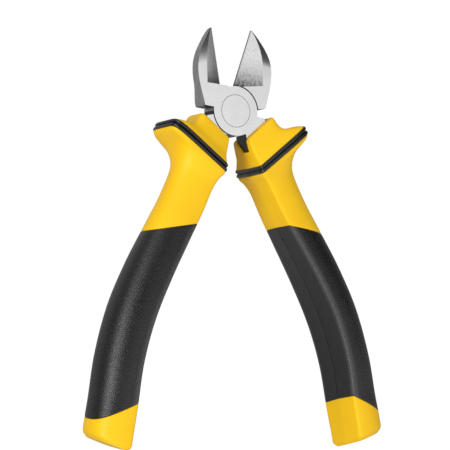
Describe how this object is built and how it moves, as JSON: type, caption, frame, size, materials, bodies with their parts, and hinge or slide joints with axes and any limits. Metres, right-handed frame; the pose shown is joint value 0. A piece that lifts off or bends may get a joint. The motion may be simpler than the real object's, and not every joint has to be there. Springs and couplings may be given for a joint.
{
  "type": "side cutters",
  "caption": "Side cutters: crossed steel levers riveted in a half-lap joint, with bevelled cutting jaws and yellow moulded handles that have finger guards and black soft grips.",
  "frame": {"origin": "on the pivot axis, at the centre of the rivet's lower face", "axes": "+Y from the pivot to the jaw tips, midway between the open jaws; +Z along the pivot axis to the side with the cutting bevels; +X to the right of both"},
  "size_m": [0.118, 0.1511, 0.0218],
  "materials": {
    "ground_steel": "ground satin",
    "rivet_steel": "ground satin, flush with the head",
    "yellow_plastic": "smooth, satin gloss",
    "black_rubber": "fine grained, matt"
  },
  "bodies": {
    "front_half": {"front_lever": "ground_steel", "pivot_rivet": "rivet_steel", "right_handle_body": "yellow_plastic", "right_soft_grip": "black_rubber", "right_guard_band": "black_rubber"},
    "rear_half": {"rear_lever": "ground_steel", "left_handle_body": "yellow_plastic", "left_soft_grip": "black_rubber", "left_guard_band": "black_rubber"}
  },
  "joints": [
    {"name": "pivot", "type": "hinge", "parent": "front_half", "child": "rear_half", "pos_m": [0, 0, 0.0036], "axis": [0, 0, 1], "range_deg": [-16.5, 30]}
  ]
}
